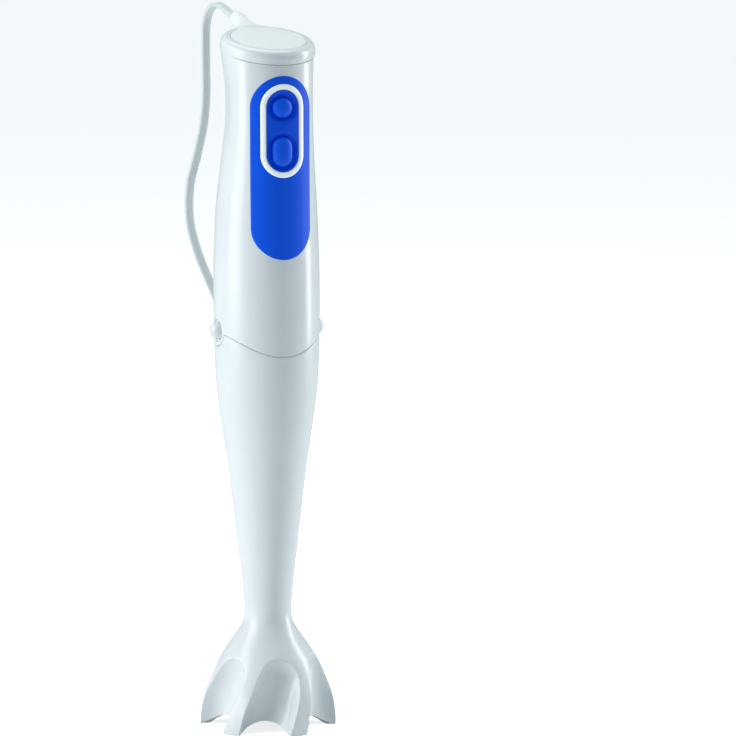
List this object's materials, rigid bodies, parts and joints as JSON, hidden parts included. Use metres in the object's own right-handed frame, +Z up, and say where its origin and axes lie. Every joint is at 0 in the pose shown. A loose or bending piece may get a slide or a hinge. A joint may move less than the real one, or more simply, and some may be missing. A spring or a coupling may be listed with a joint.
{
  "type": "immersion blender",
  "caption": "Hand-held immersion blender: motor handle with two push buttons, detachable blending shaft with a fluted bell guard and blade, mains cord with plug",
  "frame": {"origin": "floor point on the vertical axis, midway between the six feet", "axes": "+Z up along the drive axis, -Y towards the button side, +X to the right as the buttons are faced"},
  "size_m": [0.0996, 0.1824, 0.3655],
  "materials": {
    "white_plastic": "satin moulded white plastic",
    "blue_grip": "soft blue grip plastic",
    "cap_plastic": "fine matt light grey plastic",
    "blue_button": "soft blue button plastic",
    "cord_sheath": "matt white cord sheath",
    "grey_plastic": "glass-filled grey plastic",
    "dark_plastic": "dark moulded plastic",
    "soft_rubber": "black rubber",
    "bright_steel": "ground stainless steel",
    "laminations": "stacked electrical steel",
    "copper_wire": "varnished copper wire",
    "brass_metal": "pressed brass",
    "bronze_bush": "sintered bronze",
    "carbon_block": "pressed carbon",
    "circuit_board": "green board lacquer",
    "capacitor_film": "yellow cast resin",
    "wire_sheath": "wire insulation"
  },
  "bodies": {
    "blending_shaft": {"shaft_housing": "white_plastic", "shaft_insert": "grey_plastic", "upper_bush": "bronze_bush", "lower_bush": "bronze_bush", "shaft_seal": "soft_rubber", "seal_retainer": "bright_steel", "power_cord": "cord_sheath", "cord_hank": "cord_sheath", "hank_tie": "soft_rubber", "mains_plug": "white_plastic", "plug_pins": "bright_steel"},
    "drive_shaft": {"drive_rod": "bright_steel", "driven_coupling": "dark_plastic", "thrust_washer": "bright_steel", "retaining_clip": "bright_steel", "blade_hub": "bright_steel", "blade": "bright_steel", "blade_nut": "bright_steel"},
    "rotor": {"motor_shaft": "bright_steel", "armature_core": "laminations", "armature_windings": "copper_wire", "commutator": "brass_metal", "cooling_fan": "grey_plastic", "drive_coupling": "dark_plastic"},
    "speed_key": {"speed_button": "blue_button"},
    "turbo_key": {"turbo_button": "blue_button"},
    "left_release": {"release_button_left": "white_plastic", "latch_hook_left": "bright_steel"},
    "right_release": {"release_button_right": "white_plastic", "latch_hook_right": "bright_steel"},
    "motor_handle": {"handle_shell": "white_plastic", "grip_panel": "blue_grip", "button_ring": "white_plastic", "button_plate": "blue_button", "top_ring": "white_plastic", "top_cap": "cap_plastic", "cord_guard": "white_plastic", "base_carrier": "grey_plastic", "base_gasket": "soft_rubber", "base_screws": "bright_steel", "lower_frame": "grey_plastic", "upper_frame": "grey_plastic", "lower_bearing": "bright_steel", "upper_bearing": "bright_steel", "lower_damper": "soft_rubber", "stator_core": "laminations", "field_windings": "copper_wire", "motor_bolts": "bright_steel", "brush_holders": "brass_metal", "carbon_brushes": "carbon_block", "brush_springs": "bright_steel", "switch_board": "circuit_board", "speed_switch": "dark_plastic", "turbo_switch": "dark_plastic", "button_bracket": "grey_plastic", "suppression_capacitor": "capacitor_film", "lead_wires": "wire_sheath", "cord_clamp": "grey_plastic", "clamp_screws": "bright_steel", "release_springs": "bright_steel"}
  },
  "joints": [
    {"name": "handle_lift", "type": "slide", "parent": "blending_shaft", "child": "motor_handle", "axis": [0, 0, 1], "range_m": [0, 0.06]},
    {"name": "drive_spin", "type": "hinge", "parent": "blending_shaft", "child": "drive_shaft", "pos_m": [0, 0, 0.1], "axis": [0, 0, 1], "continuous": true},
    {"name": "rotor_spin", "type": "hinge", "parent": "motor_handle", "child": "rotor", "pos_m": [0, 0, 0.24], "axis": [0, 0, 1], "continuous": true},
    {"name": "speed_press", "type": "slide", "parent": "motor_handle", "child": "speed_key", "axis": [0, 1, 0], "range_m": [0, 0.002], "stiffness_N_per_m": 900, "springref_m": -0.002},
    {"name": "turbo_press", "type": "slide", "parent": "motor_handle", "child": "turbo_key", "axis": [0, 1, 0], "range_m": [0, 0.002], "stiffness_N_per_m": 900, "springref_m": -0.002},
    {"name": "left_release_press", "type": "slide", "parent": "motor_handle", "child": "left_release", "axis": [1, 0, 0], "range_m": [0, 0.002], "stiffness_N_per_m": 1500, "springref_m": -0.002},
    {"name": "right_release_press", "type": "slide", "parent": "motor_handle", "child": "right_release", "axis": [-1, 0, 0], "range_m": [0, 0.002], "stiffness_N_per_m": 1500, "springref_m": -0.002}
  ],
  "couplings": [
    {"joint": "drive_spin", "follows": "rotor_spin", "ratio": 1}
  ]
}
